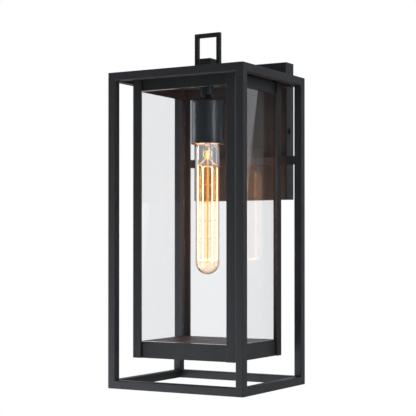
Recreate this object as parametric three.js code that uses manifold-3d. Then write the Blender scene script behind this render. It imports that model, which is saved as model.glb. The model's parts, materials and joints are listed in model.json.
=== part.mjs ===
// Outdoor wall lantern: an open square-tube frame around a glazed cage, hung on a box wall plate.
// Millimetres, +Z up, +Y towards the wall. The origin is where the mounting strap meets the wall,
// at the middle of the wall plate.
import * as THREE from "three";
import { mergeVertices } from "three/addons/utils/BufferGeometryUtils.js";
import Module from "manifold-3d";

const wasm = await Module();
wasm.setup();

// ---- Driving dimensions ----

// Outer frame of square tube
const FRAME_WIDTH = 183;
const FRAME_DEPTH = 159;
const FRAME_HEIGHT = 375;
const TUBE = 10;
const TUBE_WALL = 1.2;
const CROSSBAR_DROP = 95.5;

// Wall plate, a box open at the back
const PLATE_WIDTH = 131;
const PLATE_HEIGHT = 170;
const PLATE_DEPTH = 21;
const PLATE_WALL = 1.5;
const PLATE_RISE = 22;
const PLATE_EDGE = 1.2;
const PLATE_SCREW_INSET = 14;
const GASKET_THICKNESS = 1.5;
const GASKET_WIDTH = 1.5;

// Mounting strap inside the wall plate
const STRAP_HEIGHT = 24;
const STRAP_THICKNESS = 2;
const EAR_CLEARANCE = 2.5;
const BOX_SCREW_SPACING = 89;
const BOX_SLOT_LENGTH = 22;
const BOX_SLOT_WIDTH = 5;
const GROUND_SCREW_X = 20;

// Glazed cage
const CAGE_SIDE_CLEARANCE = 12.25;
const CAGE_FRONT_CLEARANCE = 10.3;
const CAGE_CLEARANCE = 36;
const ANGLE_LEG = 11;
const ANGLE_THICKNESS = 2.5;
const SEAL_LEG = 8;
const SEAL_THICKNESS = 0.8;
const GLASS_THICKNESS = 3;
const SHEET = 1.2;
const ROOF_FLANGE = 7;
const CEILING_DROP = 7.7;
const CEILING_SKIRT = 13.3;
const TRAY_HEIGHT = 19.3;

// Finial
const LOOP_WIDTH = 35;
const LOOP_HEIGHT = 51;
const LOOP_BAR = 5;
const BLOCK = 15;
const BLOCK_HEIGHT = 20;
const STUD_RADIUS = 1.5;
const STUD_HEIGHT = 15;

// Stem, cup and lampholder
const NIPPLE_RADIUS = 5;
const NIPPLE_BORE = 3.6;
const NUT_WALL = 2;
const NUT_THICKNESS = 2;
const COLLAR_WALL = 3;
const COLLAR_HEIGHT = 16;
const COLLAR_EDGE = 1;
const CUP_HEIGHT = 53.6;
const CUP_WALL = 1.2;
const CUP_EDGE = 3;
const CUP_DROP = 29.4;
const CUP_CLEARANCE = 1.3;
const HOLDER_WALL = 2.2;
const HOLDER_HEIGHT = 43;
const HOLDER_CHAMFER = 2;
const HOLDER_TO_NIPPLE = 2;
const SHELL_DEPTH = 25;
const SHELL_WALL = 0.7;
const SHELL_RECESS = 3;
const SHELL_HEADROOM = 1.5;
const SHELL_LIP = 2;
const LEAF_LENGTH = 16;
const LEAF_WIDTH = 5;
const LEAF_THICKNESS = 0.5;
const NOSE_RADIUS = 2;

// Tubular bulb with a screw cap
const BULB_RADIUS = 14.5;
const BULB_LENGTH = 185;
const BULB_BELOW_CUP = 157;
const BULB_GLASS = 0.8;
const BULB_SHOULDER = 8;
const BULB_NECK = 6;
const CAP_RADIUS = 13.1;
const CAP_HEIGHT = 22;
const CAP_WALL = 0.5;
const CAP_EDGE = 1;
const CAP_LAND = 2;
const CAP_SKIRT = 3;
const INSULATOR_RADIUS = 7.2;
const THREAD_PITCH = 3.63;
const THREAD_DEPTH = 0.6;
const CONTACT_HEIGHT = 3;
const CONTACT_RADIUS = 4.5;
const CONTACT_CROWN = 0.5;
const FLARE_DEPTH = 9;
const STEM_RADIUS = 3;
const MOUNT_RING = 0.8;
const ROD_RADIUS = 1;
const BEAD_RADIUS = 2;
const MOUNT_RING_BELOW_CUP = 13;
const FILAMENT_TOP_BELOW_CUP = 27;
const FILAMENT_LENGTH = 111;
const FILAMENT_RADIUS = 9.3;
const FILAMENT_TURN = 30;
const FILAMENT_RUNS = 6;
const FILAMENT_WIRE = 0.35;

// Fasteners and leads
const SCREW_RADIUS = 2;
const SCREW_HEAD_RADIUS = 3.6;
const SCREW_HEAD = 2;
const SCREW_HEAD_RIM = 0.8;
const SCREW_RECESS_WIDTH = 1;
const SCREW_RECESS_LENGTH = 4;
const SCREW_RECESS_DEPTH = 1.1;
const SIDE_SCREW_LENGTH = 10;
const PLATE_SCREW_LENGTH = 6;
const LEAD_RADIUS = 0.8;
const LEAD_SPACING = 2.4;
const LEAD_DROP_IN_PLATE = 34;
const LEAD_SPREAD = 7;
const LEAD_STANDOFF = 7;
const WIRE_HOLE_RADIUS = 3.5;
const ROOF_PORT_RADIUS = 3;
const GROMMET_WALL = 0.7;
const GROMMET_FLANGE = 1.2;
const WIRE_NUT_RADIUS = 5;
const WIRE_NUT_TIP = 3;
const WIRE_NUT_HEIGHT = 17;
const WIRE_NUT_GRIP = 5;

// Clearances
const SEAM = 0.1;
const GAP = 0.3;
const BULB_CLEARANCE = 0.6;
const OVERCUT = 1;

// ---- Sizes that follow ----
const CAGE_WIDTH = FRAME_WIDTH - 2 * (TUBE + CAGE_SIDE_CLEARANCE);
const CAGE_DEPTH = FRAME_DEPTH - 2 * (TUBE + CAGE_FRONT_CLEARANCE);
const NUT_ACROSS = 2 * (NIPPLE_RADIUS + NUT_WALL);
const COLLAR_RADIUS = NIPPLE_RADIUS + COLLAR_WALL;
const SHELL_INNER = CAP_RADIUS + BULB_CLEARANCE;
const SHELL_OUTER = SHELL_INNER + THREAD_DEPTH + SHELL_WALL;
const HOLDER_RADIUS = SHELL_OUTER + GAP + HOLDER_WALL;
const CUP_RADIUS = HOLDER_RADIUS + CUP_CLEARANCE + CUP_WALL;
const EAR_LENGTH = PLATE_DEPTH - PLATE_WALL - STRAP_THICKNESS - EAR_CLEARANCE;

// ---- Levels that follow, measured from the top of the frame ----
const CAGE_BOTTOM = CAGE_CLEARANCE - FRAME_HEIGHT;
const TRAY_TOP = CAGE_BOTTOM + TRAY_HEIGHT;
const CEILING_UNDERSIDE = -CEILING_DROP;
const CEILING_TOP = CEILING_UNDERSIDE + SHEET;
const CEILING_SKIRT_END = CEILING_UNDERSIDE - CEILING_SKIRT;
const CUP_TOP = -CUP_DROP;
const CUP_MOUTH = CUP_TOP - CUP_HEIGHT;
const BULB_TIP = CUP_MOUTH - BULB_BELOW_CUP;
const CONTACT_TIP = BULB_TIP + BULB_LENGTH;
const CAP_TOP = CONTACT_TIP - CONTACT_HEIGHT;
const CAP_END = CAP_TOP - CAP_HEIGHT;
const SHELL_TOP = CONTACT_TIP + SHELL_HEADROOM;
const SHELL_END = SHELL_TOP - SHELL_DEPTH;
const HOLDER_END = SHELL_END - SHELL_RECESS;
const HOLDER_TOP = HOLDER_END + HOLDER_HEIGHT;
const FILAMENT_TOP = CUP_MOUTH - FILAMENT_TOP_BELOW_CUP;
const FILAMENT_BOTTOM = FILAMENT_TOP - FILAMENT_LENGTH;
const WIRE_LEVEL = -TUBE / 2;
const REAR = FRAME_DEPTH / 2;
const SCREW_HOLE = SCREW_RADIUS + GAP;
const PLATE_SCREW_X = PLATE_WIDTH / 2 - PLATE_SCREW_INSET;

// ---- Materials ----
const finish = (color, roughness, metalness) =>
  new THREE.MeshStandardMaterial({ color, roughness, metalness });
const BLACK_METAL = finish(0x2b2c2f, 0.6, 0.3);
const BLACK_RUBBER = finish(0x151515, 0.9, 0);
const CLEAR_GLASS = finish(0xe9eef0, 0.05, 0);
CLEAR_GLASS.transparent = true;
CLEAR_GLASS.opacity = 0.25;
const ZINC = finish(0xa9abad, 0.4, 0.9);
const BRASS = finish(0xb08d4a, 0.35, 0.9);
const PORCELAIN = finish(0xe6e2d8, 0.3, 0);
const BLACK_INSULATOR = finish(0x111111, 0.3, 0);
const FILAMENT = finish(0xffb040, 0.5, 0);
const WIRE_BLACK = finish(0x161616, 0.6, 0);
const WIRE_WHITE = finish(0xe8e8e4, 0.6, 0);
const GREEN_ZINC = finish(0x2c7a45, 0.4, 0.6);

// ---- Shape helpers ----

function solidOf(geometry) {
  const bare = geometry.index ? geometry.toNonIndexed() : geometry.clone();
  bare.deleteAttribute("normal");
  bare.deleteAttribute("uv");
  const merged = mergeVertices(bare, 1e-4);
  return new wasm.Manifold(
    new wasm.Mesh({
      numProp: 3,
      vertProperties: merged.attributes.position.array,
      triVerts: new Uint32Array(merged.index.array),
    }),
  );
}

function geometryOf(solid) {
  const mesh = solid.getMesh();
  const geometry = new THREE.BufferGeometry();
  geometry.setAttribute("position", new THREE.BufferAttribute(mesh.vertProperties, 3));
  geometry.setIndex(new THREE.BufferAttribute(mesh.triVerts, 1));
  const flat = geometry.toNonIndexed();
  flat.computeVertexNormals();
  return flat;
}

function cut(geometry, ...tools) {
  let solid = solidOf(geometry);
  for (const tool of tools) solid = solid.subtract(solidOf(tool));
  return geometryOf(solid);
}

function join(geometry, ...others) {
  let solid = solidOf(geometry);
  for (const other of others) solid = solid.add(solidOf(other));
  return geometryOf(solid);
}

// A box between two opposite corners.
function box([x0, y0, z0], [x1, y1, z1]) {
  const geometry = new THREE.BoxGeometry(x1 - x0, y1 - y0, z1 - z0);
  return geometry.translate((x0 + x1) / 2, (y0 + y1) / 2, (z0 + z1) / 2);
}

// A box centred on the Z axis, with its lower and upper levels.
const block = (width, depth, z0, z1) =>
  box([-width / 2, -depth / 2, z0], [width / 2, depth / 2, z1]);

// A cylinder on the Z axis between two levels.
const rod = (radius, z0, z1, sides = 24) =>
  new THREE.CylinderGeometry(radius, radius, z1 - z0, sides)
    .rotateX(Math.PI / 2)
    .translate(0, 0, (z0 + z1) / 2);

// A cylinder along Y between two depths.
const rodY = (radius, y0, y1, sides = 16) =>
  new THREE.CylinderGeometry(radius, radius, y1 - y0, sides).translate(0, (y0 + y1) / 2, 0);

// A cylinder along X between two places.
const rodX = (radius, x0, x1, sides = 16) =>
  new THREE.CylinderGeometry(radius, radius, x1 - x0, sides)
    .rotateZ(Math.PI / 2)
    .translate((x0 + x1) / 2, 0, 0);

// A body of revolution about Z from the [radius, level] points round its section.
function turned(points, sides = 24) {
  const profile = points.map(([radius, level]) => new THREE.Vector2(radius, level));
  if (THREE.ShapeUtils.isClockWise(profile)) profile.reverse();
  if (profile[0].x > 0 || profile[profile.length - 1].x > 0) profile.push(profile[0].clone());
  return new THREE.LatheGeometry(profile, sides).rotateX(Math.PI / 2);
}

// Points of an arc of a section, in [radius, level] form.
function arc(centreRadius, centreLevel, radius, fromDeg, toDeg, steps) {
  return Array.from({ length: steps + 1 }, (_, i) => {
    const angle = THREE.MathUtils.degToRad(fromDeg + ((toDeg - fromDeg) * i) / steps);
    return [centreRadius + radius * Math.cos(angle), centreLevel + radius * Math.sin(angle)];
  });
}

function rectangle(target, x0, y0, x1, y1) {
  target.moveTo(x0, y0);
  target.lineTo(x1, y0);
  target.lineTo(x1, y1);
  target.lineTo(x0, y1);
  target.closePath();
  return target;
}

// The square tube's section, with one corner at its origin.
function tubeSection() {
  const section = rectangle(new THREE.Shape(), 0, 0, TUBE, TUBE);
  const inner = TUBE - TUBE_WALL;
  section.holes.push(rectangle(new THREE.Path(), TUBE_WALL, TUBE_WALL, inner, inner));
  return section;
}

// A square tube along X with its outer face at y = 0, its inner face at y = TUBE and square ends.
function straightTube(length) {
  const geometry = new THREE.ExtrudeGeometry(tubeSection(), { depth: length, bevelEnabled: false });
  const turn = new THREE.Matrix4().makeBasis(
    new THREE.Vector3(0, 1, 0),
    new THREE.Vector3(0, 0, 1),
    new THREE.Vector3(1, 0, 0),
  );
  return geometry.applyMatrix4(turn).translate(-length / 2, 0, 0);
}

// The same tube with both ends cut at 45 degrees for a ring of the given outer length.
function mitredTube(length) {
  const geometry = straightTube(length);
  const place = geometry.attributes.position;
  for (let i = 0; i < place.count; i++) {
    const side = Math.sign(place.getX(i));
    place.setX(i, place.getX(i) - side * (place.getY(i) + SEAM));
  }
  return geometry;
}

function hexNut(across, thickness, bore) {
  const corner = across / Math.sqrt(3);
  return cut(rod(corner, 0, thickness, 6), rod(bore, -OVERCUT, thickness + OVERCUT));
}

// A pan-head screw along -Z, its head on top of z = 0 with a cross recess.
function panScrew(length) {
  const crown = SCREW_HEAD - SCREW_HEAD_RIM;
  const head = turned([
    [0, 0],
    [SCREW_HEAD_RADIUS, 0],
    [SCREW_HEAD_RADIUS, SCREW_HEAD_RIM],
    ...arc(SCREW_HEAD_RADIUS - crown, SCREW_HEAD_RIM, crown, 30, 90, 2),
    [0, SCREW_HEAD],
  ], 16);
  const floor = SCREW_HEAD - SCREW_RECESS_DEPTH;
  return cut(
    join(head, rod(SCREW_RADIUS, -length, SCREW_HEAD_RIM / 2, 12)),
    block(SCREW_RECESS_LENGTH, SCREW_RECESS_WIDTH, floor, SCREW_HEAD + OVERCUT),
    block(SCREW_RECESS_WIDTH, SCREW_RECESS_LENGTH, floor, SCREW_HEAD + OVERCUT),
  );
}

function tubeAlong(points, radius, steps, sides) {
  const curve = new THREE.CatmullRomCurve3(points.map((p) => new THREE.Vector3(...p)));
  const section = new THREE.Shape();
  for (let i = 0; i < sides; i++) {
    const angle = (i / sides) * 2 * Math.PI;
    const x = radius * Math.cos(angle);
    const y = radius * Math.sin(angle);
    if (i === 0) section.moveTo(x, y);
    else section.lineTo(x, y);
  }
  section.closePath();
  return new THREE.ExtrudeGeometry(section, { steps, extrudePath: curve, bevelEnabled: false });
}

function add(parent, name, geometry, material) {
  const mesh = new THREE.Mesh(geometry, material);
  mesh.name = name;
  parent.add(mesh);
  return mesh;
}

// ---- The lantern group: its own origin is the middle of the frame's top ----
const part = new THREE.Group();
const lantern = new THREE.Group();
lantern.position.set(0, -(PLATE_DEPTH + REAR), PLATE_HEIGHT / 2 - PLATE_RISE);
part.add(lantern);

const CORNERS = [
  ["front_left", -1, -1],
  ["front_right", 1, -1],
  ["rear_right", 1, 1],
  ["rear_left", -1, 1],
];
const SIDES = [
  ["front", FRAME_WIDTH, FRAME_DEPTH, CAGE_WIDTH, CAGE_DEPTH],
  ["right", FRAME_DEPTH, FRAME_WIDTH, CAGE_DEPTH, CAGE_WIDTH],
  ["rear", FRAME_WIDTH, FRAME_DEPTH, CAGE_WIDTH, CAGE_DEPTH],
  ["left", FRAME_DEPTH, FRAME_WIDTH, CAGE_DEPTH, CAGE_WIDTH],
];

function addOuterPosts() {
  const height = FRAME_HEIGHT - 2 * TUBE - 2 * SEAM;
  for (const [corner, sideX, sideY] of CORNERS) {
    const geometry = new THREE.ExtrudeGeometry(tubeSection(), {
      depth: height,
      bevelEnabled: false,
    });
    const post = add(lantern, `outer_post_${corner}`, geometry, BLACK_METAL);
    const x = sideX < 0 ? -FRAME_WIDTH / 2 : FRAME_WIDTH / 2 - TUBE;
    const y = sideY < 0 ? -FRAME_DEPTH / 2 : FRAME_DEPTH / 2 - TUBE;
    post.position.set(x, y, -TUBE - SEAM - height);
  }
}

function addRings() {
  for (const [level, z] of [["top", -TUBE], ["bottom", -FRAME_HEIGHT]]) {
    SIDES.forEach(([side, length, across], turn) => {
      let geometry = mitredTube(length);
      if (level === "top" && side === "rear") {
        const hole = rodY(WIRE_HOLE_RADIUS, -OVERCUT, TUBE + OVERCUT);
        hole.translate(0, 0, TUBE + WIRE_LEVEL);
        geometry = cut(geometry, hole);
      }
      geometry.translate(0, -across / 2, 0);
      const rail = add(lantern, `${level}_rail_${side}`, geometry, BLACK_METAL);
      rail.rotation.z = (turn * Math.PI) / 2;
      rail.position.z = z;
    });
  }
}

// The crossbar between the rear posts carries the lower screws of the wall plate.
function addCrossbar() {
  const length = FRAME_WIDTH - 2 * TUBE - 2 * SEAM;
  const holes = [-1, 1].map((side) =>
    rodY(SCREW_HOLE, TUBE / 2, TUBE + OVERCUT).translate(side * PLATE_SCREW_X, 0, TUBE / 2),
  );
  const crossbar = add(lantern, "rear_crossbar", cut(straightTube(length), ...holes), BLACK_METAL);
  crossbar.position.set(0, REAR - TUBE, -CROSSBAR_DROP - TUBE);
}

// ---- Roof, ceiling and floor: bent sheet pans ----

// A sheet pan on the Z axis, closed at its top level and open below.
function pan(width, depth, height, top) {
  return cut(
    block(width, depth, top - height, top),
    block(width - 2 * SHEET, depth - 2 * SHEET, top - height - OVERCUT, top - SHEET),
  );
}

const INNER_WIDTH = FRAME_WIDTH - 2 * TUBE - 2 * SEAM;
const INNER_DEPTH = FRAME_DEPTH - 2 * TUBE - 2 * SEAM;
const PAN_WIDTH = CAGE_WIDTH - 2 * (ANGLE_THICKNESS + GAP);
const PAN_DEPTH = CAGE_DEPTH - 2 * (ANGLE_THICKNESS + GAP);

function addPans() {
  const roof = cut(
    pan(INNER_WIDTH, INNER_DEPTH, ROOF_FLANGE, 0),
    rod(STUD_RADIUS + GAP, -SHEET - OVERCUT, OVERCUT),
    rodY(ROOF_PORT_RADIUS, 0, REAR).translate(0, 0, WIRE_LEVEL),
  );
  add(lantern, "roof_pan", roof, BLACK_METAL);
  const ceiling = cut(
    pan(PAN_WIDTH, PAN_DEPTH, CEILING_TOP - CEILING_SKIRT_END, CEILING_TOP),
    rod(NIPPLE_RADIUS + GAP, CEILING_UNDERSIDE - OVERCUT, CEILING_TOP + OVERCUT),
  );
  add(lantern, "ceiling_pan", ceiling, BLACK_METAL);
  add(lantern, "floor_tray", pan(PAN_WIDTH, PAN_DEPTH, TRAY_HEIGHT, TRAY_TOP), BLACK_METAL);
}

// ---- Cage: corner angles, glazing seals and panes ----

// An angle section with its outside corner at the origin, reaching along +X and +Y.
function angle(leg, thickness, height) {
  const section = new THREE.Shape();
  section.moveTo(0, 0);
  section.lineTo(leg, 0);
  section.lineTo(leg, thickness);
  section.lineTo(thickness, thickness);
  section.lineTo(thickness, leg);
  section.lineTo(0, leg);
  section.closePath();
  return new THREE.ExtrudeGeometry(section, { depth: height, bevelEnabled: false });
}

const GLASS_BOTTOM = TRAY_TOP + GAP;
const GLASS_TOP = CEILING_SKIRT_END - GAP;
const SEAL_INSET = ANGLE_THICKNESS + SEAM;
const GLASS_INSET = SEAL_INSET + SEAL_THICKNESS + SEAM;

function addCage() {
  const postHeight = -SHEET - SEAM - CAGE_BOTTOM;
  CORNERS.forEach(([corner, sideX, sideY], turn) => {
    const rotation = (turn * Math.PI) / 2;
    const place = (mesh, inset, z) => {
      const x = sideX * (CAGE_WIDTH / 2 - inset);
      const y = sideY * (CAGE_DEPTH / 2 - inset);
      mesh.rotation.z = rotation;
      mesh.position.set(x, y, z);
    };
    const postShape = angle(ANGLE_LEG, ANGLE_THICKNESS, postHeight);
    place(add(lantern, `cage_post_${corner}`, postShape, BLACK_METAL), 0, CAGE_BOTTOM);
    const sealShape = angle(SEAL_LEG, SEAL_THICKNESS, GLASS_TOP - GLASS_BOTTOM);
    const seal = add(lantern, `glazing_seal_${corner}`, sealShape, BLACK_RUBBER);
    place(seal, SEAL_INSET, GLASS_BOTTOM);
  });
}

function addPanes() {
  SIDES.forEach(([side, , , length, across], turn) => {
    const isBetween = side === "left" || side === "right";
    const endInset = isBetween ? GLASS_INSET + GLASS_THICKNESS + GAP : GLASS_INSET;
    const outer = -across / 2 + GLASS_INSET;
    const half = length / 2 - endInset;
    const shape = box([-half, outer, GLASS_BOTTOM], [half, outer + GLASS_THICKNESS, GLASS_TOP]);
    add(lantern, `glass_pane_${side}`, shape, CLEAR_GLASS).rotation.z = (turn * Math.PI) / 2;
  });
}

// ---- Finial: a loop whose bottom bar passes under a slotted block, on a stud in the roof ----
function addFinial() {
  const half = LOOP_WIDTH / 2;
  const outline = rectangle(new THREE.Shape(), -half, GAP, half, LOOP_HEIGHT);
  const inner = half - LOOP_BAR;
  const topBar = LOOP_HEIGHT - LOOP_BAR;
  outline.holes.push(rectangle(new THREE.Path(), -inner, GAP + LOOP_BAR, inner, topBar));
  const bar = new THREE.ExtrudeGeometry(outline, { depth: LOOP_BAR, bevelEnabled: false })
    .rotateX(Math.PI / 2)
    .translate(0, LOOP_BAR / 2, 0);
  const socket = rod(STUD_RADIUS + GAP, -OVERCUT, STUD_HEIGHT + GAP);
  add(lantern, "finial_loop", cut(bar, socket), BLACK_METAL);
  const slot = block(BLOCK + OVERCUT, LOOP_BAR + 2 * GAP, -OVERCUT, 2 * GAP + LOOP_BAR);
  const knob = cut(block(BLOCK, BLOCK, GAP, BLOCK_HEIGHT), slot, socket);
  add(lantern, "finial_block", knob, BLACK_METAL);
  add(lantern, "finial_stud", rod(STUD_RADIUS, -SHEET, STUD_HEIGHT, 16), ZINC);
}

// ---- Stem, cup and lampholder ----
function addStem() {
  const nippleTop = CEILING_TOP + SEAM + NUT_THICKNESS + SEAM;
  const nippleEnd = HOLDER_TOP + HOLDER_TO_NIPPLE;
  const bore = rod(NIPPLE_BORE, nippleEnd - OVERCUT, nippleTop + OVERCUT);
  const nipple = cut(rod(NIPPLE_RADIUS, nippleEnd, nippleTop), bore);
  add(lantern, "stem_nipple", nipple, ZINC);
  const nut = hexNut(NUT_ACROSS, NUT_THICKNESS, NIPPLE_RADIUS + GAP);
  add(lantern, "nipple_nut", nut, ZINC).position.z = CEILING_TOP + SEAM;
  const collarTop = CEILING_UNDERSIDE - SEAM;
  const collarEnd = collarTop - COLLAR_HEIGHT;
  const collar = turned([
    [NIPPLE_RADIUS + GAP, collarEnd],
    ...arc(COLLAR_RADIUS - COLLAR_EDGE, collarEnd + COLLAR_EDGE, COLLAR_EDGE, -90, 0, 2),
    [COLLAR_RADIUS, collarTop],
    [NIPPLE_RADIUS + GAP, collarTop],
  ]);
  add(lantern, "stem_collar", collar, BLACK_METAL);
}

function addCup() {
  const innerRadius = CUP_RADIUS - CUP_WALL;
  const innerEdge = CUP_EDGE - CUP_WALL;
  const edgeLevel = CUP_TOP - CUP_EDGE;
  const cup = turned([
    [NIPPLE_RADIUS + GAP, CUP_TOP - CUP_WALL],
    ...arc(innerRadius - innerEdge, edgeLevel, innerEdge, 90, 0, 2),
    [innerRadius, CUP_MOUTH],
    [CUP_RADIUS, CUP_MOUTH],
    ...arc(CUP_RADIUS - CUP_EDGE, edgeLevel, CUP_EDGE, 0, 90, 4),
    [NIPPLE_RADIUS + GAP, CUP_TOP],
  ], 40);
  add(lantern, "socket_cup", cup, BLACK_METAL);
}

function addLampholder() {
  const bore = SHELL_OUTER + GAP;
  const leafLevel = SHELL_TOP + SEAM;
  const leafTop = leafLevel + LEAF_THICKNESS;
  const body = turned([
    [0, leafTop + SEAM],
    [bore, leafTop + SEAM],
    [bore, HOLDER_END],
    [HOLDER_RADIUS, HOLDER_END],
    [HOLDER_RADIUS, HOLDER_TOP - HOLDER_CHAMFER],
    [HOLDER_RADIUS - HOLDER_CHAMFER, HOLDER_TOP],
    [0, HOLDER_TOP],
  ]);
  add(lantern, "lampholder_body", body, PORCELAIN);
  const crest = SHELL_INNER + THREAD_DEPTH;
  const ripple = threadLevels(SHELL_TOP - SHELL_LIP, SHELL_END + SHELL_LIP, crest);
  const outside = ripple.map(([radius, level]) => [radius + SHELL_WALL, level]).reverse();
  const shell = turned([
    [crest, SHELL_TOP],
    ...ripple,
    [crest, SHELL_END],
    [SHELL_OUTER, SHELL_END],
    ...outside,
    [SHELL_OUTER, SHELL_TOP],
  ], 16);
  add(lantern, "screw_shell", shell, BRASS);
  const leaf = block(LEAF_LENGTH, LEAF_WIDTH, leafLevel, leafTop);
  const nose = rod(NOSE_RADIUS, CONTACT_TIP + GAP, leafTop, 16);
  add(lantern, "centre_contact", join(leaf, nose), BRASS);
}

// Crests and roots of a screw thread as [radius, level] points, from the top down.
function threadLevels(top, bottom, crest) {
  const turns = Math.floor((top - bottom) / THREAD_PITCH);
  const levels = [];
  for (let i = 0; i < turns; i++) {
    const level = top - i * THREAD_PITCH;
    levels.push([crest, level]);
    levels.push([crest - THREAD_DEPTH, level - THREAD_PITCH / 2]);
  }
  levels.push([crest, top - turns * THREAD_PITCH]);
  return levels;
}

// ---- Bulb: glass envelope, screw cap, insulator, contact, glass stem and filament ----
const GLASS_NECK_RADIUS = CAP_RADIUS - THREAD_DEPTH - CAP_WALL - GAP;

function addBulbGlass() {
  const shoulder = CAP_END - BULB_SHOULDER;
  const neckTop = CAP_END + BULB_NECK;
  const neckInner = GLASS_NECK_RADIUS - BULB_GLASS;
  const inner = BULB_RADIUS - BULB_GLASS;
  const tipCentre = BULB_TIP + BULB_RADIUS;
  const glass = turned([
    [0, BULB_TIP],
    ...arc(0, tipCentre, BULB_RADIUS, -75, 0, 5),
    [BULB_RADIUS, shoulder],
    [GLASS_NECK_RADIUS, CAP_END - CAP_EDGE],
    [GLASS_NECK_RADIUS, neckTop],
    [neckInner, neckTop],
    [neckInner, CAP_END - CAP_EDGE],
    [inner, shoulder],
    ...arc(0, tipCentre, inner, 0, -75, 5),
    [0, BULB_TIP + BULB_GLASS],
  ]);
  add(lantern, "bulb_glass", glass, CLEAR_GLASS);
}

function addBulbCap() {
  const inner = GLASS_NECK_RADIUS + GAP;
  const collar = INSULATOR_RADIUS + GAP;
  const cap = turned([
    [collar, CAP_TOP],
    [CAP_RADIUS - CAP_EDGE, CAP_TOP - CAP_EDGE],
    ...threadLevels(CAP_TOP - CAP_LAND, CAP_END + CAP_SKIRT, CAP_RADIUS),
    [CAP_RADIUS, CAP_END],
    [inner, CAP_END],
    [inner, CAP_TOP - CAP_LAND],
    [collar, CAP_TOP - CAP_WALL],
  ]);
  add(lantern, "bulb_cap", cap, ZINC);
  const insulatorTop = CAP_TOP + CONTACT_HEIGHT / 2;
  const insulator = turned([
    [0, CAP_TOP - CAP_WALL],
    [INSULATOR_RADIUS, CAP_TOP - CAP_WALL],
    [INSULATOR_RADIUS, CAP_TOP],
    [CONTACT_RADIUS + GAP, insulatorTop],
    [0, insulatorTop],
  ]);
  add(lantern, "bulb_insulator", insulator, BLACK_INSULATOR);
  const contact = turned([
    [0, insulatorTop + SEAM],
    [CONTACT_RADIUS, insulatorTop + SEAM],
    [CONTACT_RADIUS - CONTACT_CROWN, CONTACT_TIP - CONTACT_CROWN],
    [0, CONTACT_TIP],
  ], 16);
  add(lantern, "bulb_contact", contact, ZINC);
}

function addBulbStem() {
  const ring = CUP_MOUTH - MOUNT_RING_BELOW_CUP;
  const bead = FILAMENT_BOTTOM - BEAD_RADIUS;
  const flareRadius = GLASS_NECK_RADIUS - BULB_GLASS - GAP;
  const flareTop = CAP_END + BULB_NECK - CAP_EDGE;
  const flareEnd = flareTop - FLARE_DEPTH;
  const stem = turned([
    [0, flareEnd - BEAD_RADIUS],
    [STEM_RADIUS, flareEnd],
    [flareRadius - BULB_GLASS, flareTop],
    [flareRadius, flareTop],
    [STEM_RADIUS + BULB_GLASS, flareEnd],
    [STEM_RADIUS, ring + MOUNT_RING],
    [STEM_RADIUS + MOUNT_RING, ring],
    [STEM_RADIUS, ring - MOUNT_RING],
    [ROD_RADIUS, ring - BEAD_RADIUS],
    [ROD_RADIUS, bead + BEAD_RADIUS],
    [BEAD_RADIUS, bead],
    [ROD_RADIUS, bead - BEAD_RADIUS],
    [0, bead - BEAD_RADIUS - MOUNT_RING],
  ], 16);
  add(lantern, "bulb_stem", stem, CLEAR_GLASS);
}

// One wire that runs up and down round the stem, a rounded hook at each end of each run.
function addFilament() {
  const middle = (FILAMENT_TOP + FILAMENT_BOTTOM) / 2;
  const start = (FILAMENT_TURN * Math.PI) / 180;
  const points = [];
  for (let run = 0; run < FILAMENT_RUNS; run++) {
    const angle = start + (run / FILAMENT_RUNS) * 2 * Math.PI;
    const x = FILAMENT_RADIUS * Math.cos(angle);
    const y = FILAMENT_RADIUS * Math.sin(angle);
    const drop = [[x, y, FILAMENT_TOP], [x, y, middle], [x, y, FILAMENT_BOTTOM]];
    points.push(...(run % 2 ? drop.reverse() : drop));
  }
  const wire = tubeAlong(points, FILAMENT_WIRE, FILAMENT_RUNS * 9, 5);
  add(lantern, "bulb_filament", wire, FILAMENT);
}

// ---- Leads from the lampholder through the stem, roof and wall plate ----
const LEAD_DEPTH_IN_PLATE = REAR + PLATE_WALL + LEAD_STANDOFF;

function addLeads() {
  const rise = -SHEET - SEAM - GAP - LEAD_RADIUS;
  const end = -LEAD_DROP_IN_PLATE;
  for (const [name, side, material] of [["live", -1, WIRE_BLACK], ["neutral", 1, WIRE_WHITE]]) {
    const x = (side * LEAD_SPACING) / 2;
    const route = [
      [x, -1, HOLDER_TOP + GAP],
      [x, -1, -15],
      [x, -1, -8],
      [x, 0, rise - 1.4],
      [x, 3.5, rise],
      [x, 15, rise],
      [x, REAR - 25, rise - 0.4],
      [x, REAR - TUBE, WIRE_LEVEL + 0.2],
      [x, REAR, WIRE_LEVEL],
      [x, REAR + PLATE_WALL + 2, WIRE_LEVEL],
      [x + side, LEAD_DEPTH_IN_PLATE, WIRE_LEVEL - 5],
      [side * LEAD_SPREAD, LEAD_DEPTH_IN_PLATE, WIRE_LEVEL - 16],
      [side * LEAD_SPREAD, LEAD_DEPTH_IN_PLATE, end],
    ];
    add(lantern, `lead_${name}`, tubeAlong(route, LEAD_RADIUS, 44, 8), material);
    const inside = LEAD_RADIUS + GAP;
    const mouth = end + WIRE_NUT_GRIP;
    const nut = turned([
      [inside, mouth],
      [WIRE_NUT_RADIUS, mouth],
      [WIRE_NUT_TIP, mouth - WIRE_NUT_HEIGHT],
      [0, mouth - WIRE_NUT_HEIGHT],
      [0, end - GAP],
      [inside, end - GAP],
    ], 12);
    const cap = add(lantern, `wire_nut_${name}`, nut, BLACK_INSULATOR);
    cap.position.set(side * LEAD_SPREAD, LEAD_DEPTH_IN_PLATE, 0);
  }
}

// ---- Wall plate and mounting strap, placed from the wall ----
const SIDE_SCREW_Y = -PLATE_DEPTH / 2;
const EAR_OUTER = PLATE_WIDTH / 2 - PLATE_WALL - GAP;
const GROMMET_HOLE = WIRE_HOLE_RADIUS + GROMMET_WALL;
const CROSSBAR_Z = lantern.position.z - CROSSBAR_DROP - TUBE / 2;

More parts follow.
